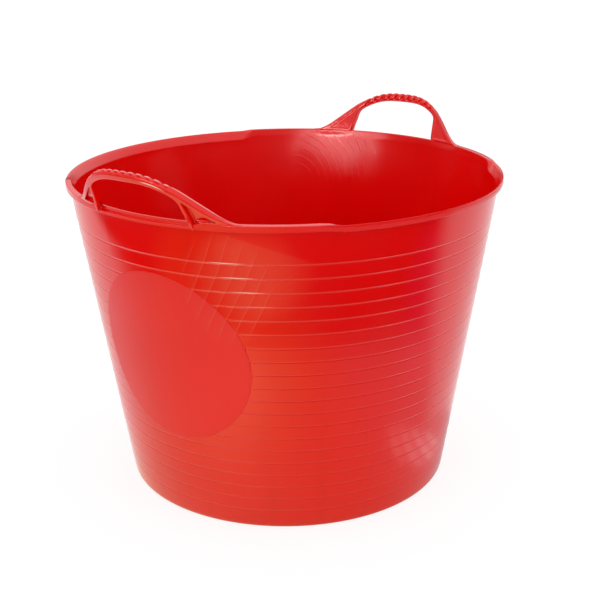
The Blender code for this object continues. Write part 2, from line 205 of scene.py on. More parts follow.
POCKET_SIDE_ROUND = 0.8
POCKET_EDGE_ROUND = 0.7
SPUR_ROUND = 1.2
SPUR_FILLET = 0.6
SPUR_INSET = 0.2

# Where the finger ribs are, in degrees round the bar: 0 is outward, 90 up and 180 inward
RIBS_START = (52.0, 72.0)
RIBS_END = (205.0, 232.0)
RIBS_FADE = (-3.0, 1.0)  # from the grip's end, in millimetres
RIB_SLANT = 0.36  # pitches in a quarter turn
RIB_GROOVE_SHARE = 0.72
# Where a painted highlight whitens a handle's upper inner edge, in the same degrees
RIB_HIGHLIGHT_START = (100.0, 122.0)
RIB_HIGHLIGHT_END = (160.0, 185.0)
RIB_HIGHLIGHT_CREST = (0.25, 0.85)
LEG_HIGHLIGHT_START = (120.0, 134.0)
LEG_HIGHLIGHT_END = (160.0, 175.0)
LEG_HIGHLIGHT_FADE = (74.0, 92.0)  # along the leg, in millimetres
# How strong the painted highlight is on the legs, and on the front and the back handle
LEG_HIGHLIGHT = 0.8
FRONT_HIGHLIGHT = 1.0
BACK_HIGHLIGHT = 0.1

# How a handle's mesh is made, in millimetres
HANDLE_CELL = 0.55
FIELD_MARGIN = 1.0
SLOPE_STEP = 0.02
SURFACE_PASSES = 4
LEAST_STEEPNESS = 0.2

# Colours of the plastic
DEEP_RED = (0.75, 0.0008, 0.0006, 1.0)
BRIGHT_RED = (0.80, 0.0015, 0.0009, 1.0)
STREAK_RED = (0.72, 0.0008, 0.001, 1.0)
SCRATCH_RED = (0.80, 0.06, 0.05, 1.0)
# Paler flow marks, which also carry painted shading and a painted sheen
PALE_MARK_AND_SHEEN_RED = (0.84, 0.11, 0.06, 1.0)
# Painted glints on a few ledges and along the front grip's crease
PAINTED_GLINT_PINK = (0.95, 0.58, 0.44, 1.0)
# Painted highlight on the handles' upper inner edges
PAINTED_HIGHLIGHT_PINK = (0.95, 0.52, 0.47, 1.0)

# Flow marks in the wall, in metres: along from the front handle's middle, and up
DRIFT = 0.012  # how far the marks wander
LINE_WIDTH = 0.07  # as a share of their pitch
PATCH_EDGE = (1.1, 0.5)
SHEEN_EDGE = (1.1, 0.2)
FLOW_MIDDLE = (0.083, 0.266)
FLOW_HALF = (0.050, 0.058)
FLOW_SLOPE = 0.48
FLOW_PITCH = 0.0155
# A painted sheen in one patch of the wall, below a sharp upper edge
SHEEN_MIDDLE = (0.110, 0.285)
SHEEN_HALF = (0.062, 0.055)
SHEEN_SLOPE = 0.32
SHEEN_TOP = 0.3475
ARC_CENTRE = (0.165, 0.235)
ARC_PITCH = 0.0055
ARC_MIDDLE = (0.125, 0.278)
ARC_HALF = (0.030, 0.026)
BACK_CENTRE = (-0.578, 0.262)
BACK_PITCH = 0.009
BACK_MIDDLE = (-0.633, 0.303)
BACK_HALF = (0.055, 0.040)
# How strongly the marks whiten the plastic, partly with painted shading on their slopes and a
# painted sheen, and how high they stand, in the bump's own units
LINE_WHITE = 0.22
SLOPE_PAINTED_SHADE = 0.12
ARC_WHITE = 0.12
PAINTED_SHEEN_WHITE = 0.15
LINE_HEIGHT = 0.12
SLOPE_HEIGHT = 0.2
ARC_HEIGHT = 0.07
BACK_LINE_HEIGHT = 0.11
BACK_SLOPE_HEIGHT = 0.5

# Painted glints on the edges of a few ledges beside the front handle
LEDGE_GLINT_WIDTH = 0.06  # as a share of the ledges' pitch
LEDGE_GLINT_SLOPE = 0.69
LEDGE_GLINT_MIDDLE = 0.286
LEDGE_GLINT_HALF = 0.022
LEDGE_GLINT_LOW = 0.238
LEDGE_GLINT_HIGH = 0.270
LEDGE_GLINT_TOP = (0.300, 0.295)
OUTER_FACE = (-0.002, -0.001)  # from the wall's own line

# A painted glint along the crease of the front grip
GRIP_GLINT = (0.018, 0.3675)
GRIP_GLINT_BEND = 13.5
GRIP_GLINT_MIDDLE = 0.030
GRIP_GLINT_EDGE = (0.0009, 0.0002)
GRIP_GLINT_END = (0.012, 0.003)

# The floor as the plastic mirrors it, in metres across and away as the camera sees them.
# A pair is where a level starts and where it is full; two more numbers are the levels there.
SHEET_AWAY = (-0.22, 0.0)
SHEET_LEFT_AWAY = (-0.40, -0.33)
SHEET_LEFT_ACROSS = (-0.25, -0.35)
SHEET_EDGE_ACROSS = 0.847
SHEET_EDGE_AWAY = 0.53
SHEET_EDGE = (-0.68, -0.585, 0.0, 1.08)
NEAR_REACH = (0.56, 0.46)
NEAR_LEVEL = (0.1, -0.12, 0.68, 1.10)
FAR_REACH = (0.95, 1.15)
FARTHEST_REACH = (1.2, 1.45)
FARTHEST_FALL = (-0.5, 0.0, -0.2, -0.65)
BLUE_ACROSS = (0.03, 0.35, 0.55, 1.0)
BLUE_AWAY = (-0.27, 0.08, 0.0, 0.42)
GREEN = 0.98
BAND_PITCH = 0.024
BAND_SHIFT = -0.0014
BAND_EDGE = (0.020, 0.004, 0.4, 1.0)
# Ellipses on the floor: middle, half size and softness of the edge, with a strength for each
DIM_ELLIPSE = ((0.21, 0.0), (0.07, 0.08), 0.5)
NEAR_ELLIPSE = ((-0.19, -0.38), (0.11, 0.14), 0.5)
BAND_ELLIPSE = ((0.23, -0.115), (0.035, 0.085), 0.4)
FRONT_ELLIPSE = ((-0.19, -0.68), (0.21, 0.12), 0.4)
HAZE_ELLIPSE = ((-0.33, -0.52), (0.42, 0.28), 0.3)
CRIMSON_ELLIPSE = ((0.60, -0.18), (0.2, 0.13), 0.4)
DIM, NEAR, BANDS, FRONT, HAZE, CRIMSON = 0.5, 0.35, 0.85, 0.5, 0.25, 0.22
HAZE_COLOUR = (1.0, 0.95, 0.1, 1.0)
CRIMSON_COLOUR = (1.0, 0.1, 1.0, 1.0)
# The floor as the camera sees it: nearly white, with a part that takes the tub's shadow
FLOOR_WHITE = 0.83
FLOOR_SHADED = (0.22, 0.22, 0.22, 1.0)
FLOOR_MATT = (0.8, 0.8, 0.8, 1.0)
FLOOR_HALF = 8.0
FLOOR_DROP = 0.2 * MM

# Light: what surrounds the tub, as a share of full white
LOW_AMBIENT = 0.79
HIGH_AMBIENT = 1.07
LOW_SKY = 0.0
HIGH_SKY = 1.15
BACK_SKY = 0.70
WINDOW = 3.4
GLINT = 12.0
# Where each of them is: rise is the height of a direction, aside its angle in radians to the
# right of the camera's own, and away how far it points away from the camera
SKY_RISE = (0.0, 0.9)
BACK_AWAY = (0.1, 0.8)
BACK_RISE = (0.03, 0.22)
SILL_SLOPE = 0.17
SILL_RISE = 0.278
SILL_EDGE = (-0.02, 0.02)
JAMB_SLOPE = 2.7
JAMB_EDGE = (-0.44, -0.25)
WINDOW_ASIDE = (-0.02, -0.36)
WINDOW_END = (-1.18, -1.0)
WINDOW_TOP = (0.60, 0.45)
GLINT_LEFT = (-0.86, -0.74)
GLINT_RIGHT = (-0.30, -0.42)
GLINT_LOW = (0.36, 0.42)
GLINT_TOP = (0.54, 0.49)

HANDLE_RADIUS = MOUTH_RADIUS + OUTSET * MM
BAND_OFFSET = (BAND_FACE - HANDLE_RADIUS) / MM
NOTCH_END = (OPENING_HALF + NOTCH_MARGIN) * MM / HANDLE_RADIUS
WALL_TAPER = (MOUTH_RADIUS - PAN_RADIUS) / (WALL_TOP - PAN_TOP)


def between(start, end, share):
    """The value at a share of the way from start to end."""
    return start + (end - start) * share


def smoothstep(low, high, value):
    """Nought below low, one above high, and a smooth rise between them."""
    share = np.clip((value - low) / (high - low), 0.0, 1.0)
    return share * share * (3.0 - 2.0 * share)


def smooth_max(a, b, size):
    """The larger of two fields, with the crease between them rounded."""
    near = np.maximum(size - np.abs(a - b), 0.0) / size
    return np.maximum(a, b) + near * near * size / 4.0


def smooth_min(a, b, size):
    """The smaller of two fields, with the crease between them rounded."""
    return -smooth_max(-a, -b, size)


def new_object(name, points, faces):
    """A smooth-shaded mesh object with its faces turned outward."""
    mesh = bpy.data.meshes.new(name)
    mesh.from_pydata(points, [], faces)
    mesh.validate()
    body = bmesh.new()
    body.from_mesh(mesh)
    bmesh.ops.recalc_face_normals(body, faces=body.faces)
    body.to_mesh(mesh)
    body.free()
    mesh.shade_smooth()
    obj = bpy.data.objects.new(name, mesh)
    bpy.context.scene.collection.objects.link(obj)
    return obj


# Tub


def wall_radius(height):
    """Outside of the wall at a height, midway between a ledge's two sides."""
    share = (height - PAN_TOP) / (WALL_TOP - PAN_TOP)
    return between(PAN_RADIUS, MOUTH_RADIUS, share)


def rounded(corners):
    """A line through (radius, height, rounding, steps) corners, each turned into a small curve."""
    points = []
    last = len(corners) - 1
    for k, (x, z, rounding, steps) in enumerate(corners):
        here = np.array((x, z))
        if steps == 0 or k in (0, last):
            points.append(here)
            continue
        ends = []
        holds = []
        for other in (corners[k - 1], corners[k + 1]):
            away = np.array(other[:2]) - here
            length = np.linalg.norm(away)
            reach = min(rounding, ROUND_SHARE * length)
            ends.append(here + away * (reach / max(length, TINY)))
            far = min(reach + SUPPORT, HOLD_SHARE * length)
            holds.append(here + away * (far / max(length, TINY)))
        points.append(holds[0])
        for step in range(steps + 1):
            share = step / steps
            first = between(ends[0], here, share)
            second = between(here, ends[1], share)
            points.append(between(first, second, share))
        points.append(holds[1])
    return points


def lip_top(inside):
    """The top of a pouring lip's section: one long curve from its inner foot to its outer edge."""
    foot = (inside + LIP_FOOT_OUT, WALL_TOP + LIP_STAND)
    edge = (BAND_FACE - LIP_EDGE_IN, LIP_TOP)
    line = [(*foot, EDGE_ROUND, 4)]
    for outward, upward, steps in LIP_SHARES:
        x = between(foot[0], edge[0], outward)
        z = between(foot[1], edge[1], upward)
        line.append((x, z, STEP_ROUND, steps))
    return line + [(*edge, LIP_EDGE_ROUND, 4)]


def band_top(inside, shape):
    """The top of the rim's section away from the pouring lips."""
    flare = ROLLED_FLARE if shape == "rolled" else RIM_FLARE
    crest = inside + flare + THIN_EDGE
    line = [
        (inside + FOOT_SHARE * flare, between(WALL_TOP, RIM_TOP, 0.5), FOOT_ROUND, 4),
        (inside + flare, RIM_TOP, EDGE_ROUND, 6),
        (crest, RIM_TOP, CREST_ROUND, 3),
    ]
    if shape == "notch":
        step = RIM_TOP - NOTCH_DROP
        return line + [(crest, step, STEP_ROUND, 3), (BAND_FACE, step, BAND_ROUND, 4)]
    return line + [
        (crest + CROWN_START, RIM_TOP - CROWN_START_SHARE * CROWN, LEAST_ROUND, 3),
        (BAND_FACE, RIM_TOP - CROWN, BAND_ROUND, 4),
    ]


def rim_corners(shape):
    """The rim's section from its inner foot over the top to its outer foot. Each shape has the
    same number of corners and steps, so that one runs into the next round the rim."""
    inside = MOUTH_RADIUS - WALL_THICKNESS
    lip = shape == "lip"
    top = LIP_TOP if lip else RIM_TOP
    band_low = top - BAND_HEIGHT
    groove = LIP_GROOVE if lip else 0.0
    middle = top - GROOVE_BELOW_TOP
    if shape == "notch":
        middle = between(top - NOTCH_DROP, band_low, 0.5)
    return (lip_top(inside) if lip else band_top(inside, shape)) + [
        (BAND_FACE, middle + GROOVE_HALF, GROOVE_EDGE_ROUND, 2),
        (BAND_FACE - groove, middle, GROOVE_ROUND, 2),
        (BAND_FACE, middle - GROOVE_HALF, GROOVE_EDGE_ROUND, 2),
        (BAND_FACE, band_low, BAND_ROUND, 3),
        (MOUTH_RADIUS + BAND_FOOT_OUT, band_low - BAND_FOOT_DROP, BAND_ROUND, 3),
    ]


def ledge_heights():
    """Heights of the ledges' edges, from the top down."""
    heights = []
    height = LEDGE_START
    while height < WALL_TOP - LEDGE_CLEAR:
        heights.append(height)
        height += LEDGE_PITCH
    return heights[::-1]


def tub_section(shape):
    """The whole section, from the floor's middle over the rim to the middle of the underside."""
    floor_edge = wall_radius(FLOOR_THICKNESS) - WALL_THICKNESS
    corners = [(0.0, FLOOR_THICKNESS, 0.0, 0)]
    corners += [(floor_edge * share, FLOOR_THICKNESS, 0.0, 0) for share in FLOOR_SHARES]
    corners.append((floor_edge, FLOOR_THICKNESS, 2.0 * INNER_CORNER_RADIUS, 6))
    for share in INNER_WALL_SHARES:
        height = between(FLOOR_THICKNESS, WALL_TOP, share)
        corners.append((wall_radius(height) - WALL_THICKNESS, height, 0.0, 0))
    corners += rim_corners(shape)
    corners.append((wall_radius(WALL_TOP - BELOW_RIM), WALL_TOP - BELOW_RIM, 0.0, 0))
    for height in ledge_heights():
        corners.append((wall_radius(height) + LEDGE_OUT, height, LEDGE_ROUND, 2))
        foot = height - LEDGE_UNDERSIDE
        corners.append((wall_radius(foot) - LEDGE_IN, foot, LEDGE_ROUND, 1))
        for below, relief in LEDGE_RELIEF:
            place = foot - below * MM
            corners.append((wall_radius(place) + relief * MM, place, 0.0, 0))
    foot = wall_radius(0.0)
    corners.append((foot, 0.0, CORNER_RADIUS, 6))
    corners += [(foot * share, 0.0, 0.0, 0) for share in UNDERSIDE_SHARES]
    corners.append((0.0, 0.0, 0.0, 0))
    return np.array(rounded(corners))


def handle_angle(angle):
    """The angle from the nearer handle's middle."""
    return np.abs((angle + math.pi / 2) % math.pi - math.pi / 2)


def tub_angles():
    """Stations round the tub: even ones, with more where the rim's section changes."""
    angles = list(np.radians(np.arange(0.0, 360.0, STATION_DEGREES)))
    for middle in (0.0, math.pi):
        for side in (-1, 1):
            angles += [middle + side * (NOTCH_END + delta * 0.001) for delta in NOTCH_STATIONS]
            for share in BORDER_STATIONS:
                offset = between(-BORDER_BLEND / 2, BORDER_BLEND / 2, share)
                angles.append(middle + side * (BORDER_ANGLE + offset))
    turned = sorted(angle % (2 * math.pi) for angle in angles)
    kept = [turned[0]]
    for angle in turned[1:]:
        if angle - kept[-1] > LEAST_TURN:
            kept.append(angle)
    return np.array(kept)


def rim_weights(angles):
    """How much of each shape of the rim there is at each angle, as shares that add up to one."""
    off = handle_angle(angles)
    notch = 1.0 - smoothstep(NOTCH_END - NOTCH_BLEND, NOTCH_END + NOTCH_BLEND, off)
    lip = smoothstep(BORDER_ANGLE - BORDER_BLEND / 2, BORDER_ANGLE + BORDER_BLEND / 2, off)
    plain = 1.0 - notch - lip
    from_leg = np.abs(off - ROLLED_ANGLE) / ROLLED_HALF_ANGLE
    rolled = plain * (1.0 - smoothstep(*ROLLED_FADE, from_leg))
    return np.stack([plain - rolled, rolled, notch, lip])


def dent(angles, height):
    """How far the wall is drawn in."""
    turn = np.abs((angles - DENT_ANGLE + math.pi) % (2 * math.pi) - math.pi)[:, None]
    share = np.clip((height - DENT_MIDDLE) / (DENT_HIGH - DENT_MIDDLE), 0.0, 1.0)
    upright = smoothstep(DENT_LOW, DENT_MIDDLE, height) * (1.0 - share ** 2)
    return DENT_DEPTH * upright * (1.0 - smoothstep(*DENT_FADE, turn / DENT_HALF_ANGLE))


def build_tub():
    """Wall, base and rim in one closed mesh."""
    angles = tub_angles()
    shapes = np.stack([tub_section(shape) for shape in ("full", "rolled", "notch", "lip")])
    sections = np.einsum("ka,kpc->apc", rim_weights(angles), shapes)
    radius, height = sections[:, 1:-1, 0], sections[:, 1:-1, 1]
    radius = radius - dent(angles, height)
    x = radius * np.sin(angles)[:, None]
    y = -radius * np.cos(angles)[:, None]
    grid = np.stack([x, y, height], axis=-1)
    rounds, rows = radius.shape
    points = grid.reshape(-1, 3)
    index = np.arange(rounds * rows).reshape(rounds, rows)
    after = np.roll(index, -1, axis=0)
    quads = np.stack([index[:, :-1], after[:, :-1], after[:, 1:], index[:, 1:]], axis=-1)
    faces = quads.reshape(-1, 4).tolist()
    floor_middle, under_middle = rounds * rows, rounds * rows + 1
    faces += [[floor_middle, a, b] for a, b in zip(after[:, 0].tolist(), index[:, 0].tolist())]
    faces += [[under_middle, a, b] for a, b in zip(index[:, -1].tolist(), after[:, -1].tolist())]
    middles = np.array([[0.0, 0.0, shapes[0, 0, 1]], [0.0, 0.0, shapes[0, -1, 1]]])
    return new_object("tub_body", np.vstack([points, middles]).tolist(), faces)


def build_panel():
    """The smooth round panel, a thin lens let into the wall under the front handle."""
    middle = WALL_TOP - PANEL_BELOW_RIM - PANEL_RADIUS
    proud = LEDGE_STEP / 2 + PANEL_PROUD
    front_shares = np.linspace(0.0, PANEL_FLAT_SHARE, PANEL_FRONT_RINGS)[1:]
    back_shares = np.linspace(1.0, 0.0, PANEL_BACK_RINGS)[:-1]
    front = [(share * PANEL_RADIUS, proud) for share in front_shares]
    edge = [(PANEL_RADIUS - inward * MM, proud - down * MM) for inward, down in PANEL_EDGE]
    back = [(share * PANEL_RADIUS, -WALL_THICKNESS / 2) for share in back_shares]
    turns = np.linspace(0.0, 2 * math.pi, PANEL_SPOKES, endpoint=False)
    rings = []
    for reach, outset in front + edge + back:
        x = reach * np.cos(turns)
        z = middle + reach * np.sin(turns)
        radius = wall_radius(z) + outset
        rings.append(np.stack([x, -np.sqrt(radius ** 2 - x ** 2), z], axis=-1))
    points = np.concatenate(rings)
    count = len(rings)
    index = np.arange(count * PANEL_SPOKES).reshape(count, PANEL_SPOKES)
    after = np.roll(index, -1, axis=1)
    quads = np.stack([index[:-1], after[:-1], after[1:], index[1:]], axis=-1)
    faces = quads.reshape(-1, 4).tolist()
    ends = [[0.0, -wall_radius(middle) - proud, middle]]
    ends.append([0.0, -wall_radius(middle) + WALL_THICKNESS / 2, middle])
    first, last = len(points), len(points) + 1
    faces += [[first, a, b] for a, b in zip(after[0].tolist(), index[0].tolist())]
    faces += [[last, a, b] for a, b in zip(index[-1].tolist(), after[-1].tolist())]
    return new_object("wall_panel", np.vstack([points, ends]).tolist(), faces)


# Handles, in millimetres: across along the rim, up from the rim's top, and out from its middle


def arch(across):
    """Height of the handle's upper outline."""
    share = np.minimum(np.abs(across) / REACH, 1.0)
    return RISE / 2 * (1.0 + np.cos(np.pi * share ** ARCH_POWER))


def arch_stretch(across):
    """How much longer the arch is than its distance across."""
    step = 0.05
    slope = (arch(across + step) - arch(across - step)) / (2 * step)
    return np.sqrt(1.0 + slope * slope)


def grip_thickness(across):
    """How thick the bar of the grip is, measured across its own run."""
    share = np.minimum(np.abs(across) / GRIP_HALF, 1.0)
    return between(GRIP_THICKNESS, GRIP_END_THICKNESS, share ** 2)


def rib_place(across, up, out):
    """Where a point lies on the ribbed grip: its turn round the bar in degrees, how ribbed the
    bar is there, and how far it is from the nearest groove, with one at a rib's crest."""
    stretch = arch_stretch(across)
    middle = arch(across) - grip_thickness(across) * stretch / 2
    rise = (up - middle) / stretch
    turn = np.degrees(np.arctan2(rise, out * GRIP_THICKNESS / (2 * HALF_DEPTH)))
    turn = np.where(turn < -90.0, turn + 360.0, turn)
    ribbed = smoothstep(*RIBS_START, turn) * (1.0 - smoothstep(*RIBS_END, turn))
    ribbed = ribbed * (1.0 - smoothstep(*RIBS_FADE, np.abs(across) - GRIP_HALF))
    pitch = 2 * GRIP_HALF / RIB_COUNT
    phase = across / pitch + 0.5 - RIB_SLANT * (turn - 90.0) / 90.0
    return turn, ribbed, np.abs(phase - np.round(phase)) * 2.0


def rib_field(across, up, out):
    """How deep the grooves between the finger ribs are at a point of the grip."""
    _, ribbed, groove = rib_place(across, up, out)
    return RIB_DEPTH * ribbed * (1.0 - smoothstep(0.0, RIB_GROOVE_SHARE, groove))


def painted_edge_highlight(points):
    """How strongly a painted highlight whitens a handle's upper inner edge at its points, on the
    finger ribs and below them on the legs."""
    turn, ribbed, groove = rib_place(*points.T)
    side = np.abs(points[:, 0])
    edge = smoothstep(*RIB_HIGHLIGHT_START, turn) * (1.0 - smoothstep(*RIB_HIGHLIGHT_END, turn))
    legs = smoothstep(GRIP_HALF, GRIP_HALF + 2.0, side) * (1.0 - smoothstep(*LEG_HIGHLIGHT_FADE, side))
    leg_edge = smoothstep(*LEG_HIGHLIGHT_START, turn) * (1.0 - smoothstep(*LEG_HIGHLIGHT_END, turn))
    return ribbed * edge * smoothstep(*RIB_HIGHLIGHT_CREST, groove) + LEG_HIGHLIGHT * legs * leg_edge


def handle_field(across, up, out):
    """Below zero inside a handle's plastic and above zero outside it."""
    side = np.abs(across)
    stretch = arch_stretch(across)
    top = (up - arch(across)) / stretch
    taper = OPENING_TAPER / OPENING_SIDE_HEIGHT
    opening_side = OPENING_HALF - taper * up
    under = top + grip_thickness(across)
    opening = smooth_max((side - opening_side) / math.hypot(1.0, taper), under, OPENING_ROUND)
    outline = smooth_max(top, -opening, OUTLINE_ROUND)
    on_grip = 1.0 - smoothstep(*GRIP_END_FADE, side - GRIP_HALF)
    outer = between(HALF_DEPTH, BAND_OFFSET, smoothstep(*LEG_SPREAD, side))
    slab = np.maximum(out - outer, -out - HALF_DEPTH)
    body = smooth_max(outline, slab, between(LEG_ROUND, GRIP_ROUND, on_grip))
    rise = top + grip_thickness(across) / 2
    crease = ((out - HALF_DEPTH) - (rise + GRIP_CREASE)) * math.sqrt(0.5)
    body = smooth_max(body, crease - CREASE_CLEAR * (1.0 - on_grip), CREASE_ROUND)
    pocket = smooth_max(opening_side + SIDE_RIB - side, top + FLANGE, POCKET_END_ROUND)
    pocket = smooth_max(pocket, WEB_SILL - up, POCKET_SILL_ROUND)
    pocket = smooth_max(pocket, HALF_WEB - np.abs(out - WEB_MIDDLE), POCKET_SIDE_ROUND)
    body = smooth_max(body, -pocket, POCKET_EDGE_ROUND)
    body = np.maximum(body, -SUNK - up)
    # The rib at the opening's side runs down over the rim as a spur
    down = np.clip(-up / SPUR_LENGTH, 0.0, 1.0)
    spur_half = between(SIDE_RIB / 2, SPUR_TIP_HALF, down)
    spur = np.abs(side - opening_side - SIDE_RIB / 2) - spur_half
    rib_front = HALF_DEPTH + SPUR_PROUD * (1.0 - np.clip(up / SPUR_HEIGHT, 0.0, 1.0)) ** 2
    spur_front = between(rib_front, BAND_OFFSET - SPUR_INSET, down)
    spur = smooth_max(spur, out - spur_front, SPUR_ROUND)
    spur = np.maximum(np.maximum(spur, -out), np.maximum(up - SPUR_HEIGHT, -SPUR_LENGTH - up))
    body = smooth_min(body, spur, SPUR_FILLET)
    return body + rib_field(across, up, out)


def surface_of(field, low, high, cell):
    """A closed mesh of the surface on which a field is zero: a point in each cell that it
    crosses, joined across the cells' shared edges, then moved onto the surface."""
    steps = [int(math.ceil((b - a) / cell)) for a, b in zip(low, high)]
    axes = [a + cell * np.arange(n + 1) for a, n in zip(low, steps)]
    values = field(*np.meshgrid(*axes, indexing="ij"))
    inside = values < 0.0
    shape = tuple(steps)
    total = np.zeros(shape + (3,))
    count = np.zeros(shape)
    for axis in range(3):
        sides = [a for a in range(3) if a != axis]
        start = [slice(None)] * 3
        end = [slice(None)] * 3
        start[axis], end[axis] = slice(0, -1), slice(1, None)
        v0, v1 = values[tuple(start)], values[tuple(end)]
        crossed = (v0 < 0.0) != (v1 < 0.0)
        share = np.where(crossed, v0 / np.where(crossed, v0 - v1, 1.0), 0.0)
        for da in (0, 1):
            for db in (0, 1):
                pick = [slice(None)] * 3
                pick[sides[0]] = slice(da, da + shape[sides[0]])
                pick[sides[1]] = slice(db, db + shape[sides[1]])
                hit = crossed[tuple(pick)]
                count += hit
                total[..., axis] += np.where(hit, share[tuple(pick)], 0.0)
                total[..., sides[0]] += hit * da
                total[..., sides[1]] += hit * db
    active = count > 0
    number = np.full(shape, -1)
    number[active] = np.arange(active.sum())
    cells = np.argwhere(active)
    points = (cells + total[active] / count[active][:, None]) * cell + np.array(low)
    faces = []
    for axis in range(3):
        sides = [a for a in range(3) if a != axis]
        core = [slice(1, -1)] * 3
        core[axis] = slice(0, shape[axis])
        after = list(core)
        after[axis] = slice(1, shape[axis] + 1)
        a, b = inside[tuple(core)], inside[tuple(after)]
        at = np.argwhere(a != b)
        flips = a[tuple(at.T)]
        at[:, sides[0]] += 1
        at[:, sides[1]] += 1
        corners = []
        for da, db in ((0, 0), (1, 0), (1, 1), (0, 1)):
            where = at.copy()
            where[:, sides[0]] -= da
            where[:, sides[1]] -= db
            corners.append(number[tuple(where.T)])
        quads = np.stack(corners, axis=-1)
        swap = flips if axis != 1 else ~flips
        quads[swap] = quads[swap][:, ::-1]
        faces.append(quads)
    step = SLOPE_STEP
    for _ in range(SURFACE_PASSES):
        x, y, z = points.T
        value = field(x, y, z)
        slope = np.stack(
            [
                field(x + step, y, z) - field(x - step, y, z),
                field(x, y + step, z) - field(x, y - step, z),
                field(x, y, z + step) - field(x, y, z - step),
            ],
            axis=-1,
        ) / (2 * step)
        steep = np.maximum((slope ** 2).sum(axis=-1), LEAST_STEEPNESS)
        move = slope * (value / steep)[:, None]
        points = points - np.clip(move, -cell / 4, cell / 4)
    return points, np.concatenate(faces)


def bend_to_rim(points):
    """From a handle's own millimetres to its place on the rim, in metres."""
    across, up, out = points.T
    turn = across * MM / HANDLE_RADIUS
    tilt = math.atan(LEAN) * np.clip(up / LEAN_START, 0.0, 1.0)
    lean = LEAN * np.maximum(up, 0.0) * MM
    outward = HANDLE_RADIUS * np.cos(turn) + lean + out * MM * np.cos(tilt)
    height = RIM_TOP + up * MM - out * MM * np.sin(tilt)
    return np.stack([HANDLE_RADIUS * np.sin(turn), -outward, height], axis=-1)


def build_handles():
    """The front handle, and the same one turned half round the tub's axis."""
    margin = FIELD_MARGIN
    low = (-REACH - margin, -SPUR_LENGTH - margin, -HALF_DEPTH - margin)
    high = (REACH + margin, RISE + margin, HALF_DEPTH + SPUR_PROUD + margin)
    points, faces = surface_of(handle_field, low, high, HANDLE_CELL)
    # A painted highlight along the handles' upper inner edges, kept on their points
    painted_highlight = painted_edge_highlight(points)
    front = bend_to_rim(points)
    back = front * np.array([-1.0, -1.0, 1.0])
    handles = []
    parts = ("grip", "leg_left", "leg_right", "root_left", "root_right")
    for side, placed, share in (("front", front, FRONT_HIGHLIGHT), ("back", back, BACK_HIGHLIGHT)):
        handle = new_object(side + "_handle", placed.tolist(), faces.tolist())
        highlight_layer = handle.data.attributes.new("painted_edge_highlight", "FLOAT", "POINT")
        highlight_layer.data.foreach_set("value", (painted_highlight * share).astype(np.float32))
        nodes = [side + "_" + part for part in parts]
        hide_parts(*nodes)
        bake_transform(handle)
        handles.append(handle)
    return handles


# Plastic


class Nodes:
    """Short calls for the nodes of one material."""

    def __init__(self, owner):
        owner.use_nodes = True
        self.tree = owner.node_tree
        self.shader = self.tree.nodes.get("Principled BSDF")

    def add(self, kind, inputs=None, **settings):
        """A node with its settings, and with its inputs set or linked."""
        node = self.tree.nodes.new(kind)
        for name, value in settings.items():
            setattr(node, name, value)
        for name, value in (inputs or {}).items():
            self.put(node.inputs[name], value)
        return node

    def put(self, socket, value):
        """Link an output to a socket, or set a number or colour on it."""
        if isinstance(value, bpy.types.NodeSocket):
            self.tree.links.new(value, socket)
        else:
            socket.default_value = value

    def math(self, operation, first, second=0.0, third=0.0):
        """A sum of one to three values, each a number or another node's output."""
        node = self.tree.nodes.new("ShaderNodeMath")
        node.operation = operation
        for socket, value in zip(node.inputs, (first, second, third)):
            self.put(socket, value)
        return node.outputs[0]

    def join(self, kind, first, second, share=None):
        """Two shaders added, or mixed by a share."""
        node = self.tree.nodes.new(kind)
        if share is not None:
            self.put(node.inputs[0], share)
        self.put(node.inputs[-2], first)
        self.put(node.inputs[-1], second)
        return node.outputs[0]

    def noise(self, vector, scale, detail=3.0, roughness=0.5, distortion=0.0):
        inputs = {"Vector": vector, "Scale": scale, "Detail": detail}
        inputs.update({"Roughness": roughness, "Distortion": distortion})
        return self.add("ShaderNodeTexNoise", inputs).outputs["Fac"]

    def span(self, value, low, high, start=0.0, end=1.0):
        """A smooth change from start to end as the value goes from low to high."""
        inputs = {"Value": value, "From Min": low, "From Max": high}
        inputs.update({"To Min": start, "To Max": end})
        node = self.add("ShaderNodeMapRange", inputs, interpolation_type="SMOOTHSTEP")
        return node.outputs["Result"]

    def mix(self, factor, first, second):
        node = self.add("ShaderNodeMix", data_type="RGBA")
        self.put(node.inputs["Factor"], factor)
        self.put(node.inputs["A"], first)
        self.put(node.inputs["B"], second)
        return next(s for s in node.outputs if s.type == "RGBA")


def patch_reach(n, along, up, middle, half):
    """Squared distance from the middle of an ellipse, with one on its outline."""
    across = n.math("DIVIDE", n.math("SUBTRACT", along, middle[0]), half[0])
    upright = n.math("DIVIDE", n.math("SUBTRACT", up, middle[1]), half[1])
    return n.math("ADD", n.math("POWER", across, 2.0), n.math("POWER", upright, 2.0))


def flow_marks(n, distance, along, z, pitch, middle, half):
    """Fine ridges at even distances, each with a slope behind it, in one patch of the wall."""
    steps = n.math("DIVIDE", distance, pitch)
    lines = n.span(n.math("PINGPONG", steps, 0.5), LINE_WIDTH, 0.0)
    inside = n.span(patch_reach(n, along, z, middle, half), *PATCH_EDGE)
    return n.math("MULTIPLY", lines, inside), n.math("MULTIPLY", n.math("FRACT", steps), inside)


def distance_from(n, along, z, centre):
    """How far a point of the wall is from a centre, both along the rim and up."""
    across = n.math("POWER", n.math("SUBTRACT", along, centre[0]), 2.0)
    upright = n.math("POWER", n.math("SUBTRACT", z, centre[1]), 2.0)
    return n.math("SQRT", n.math("ADD", across, upright))


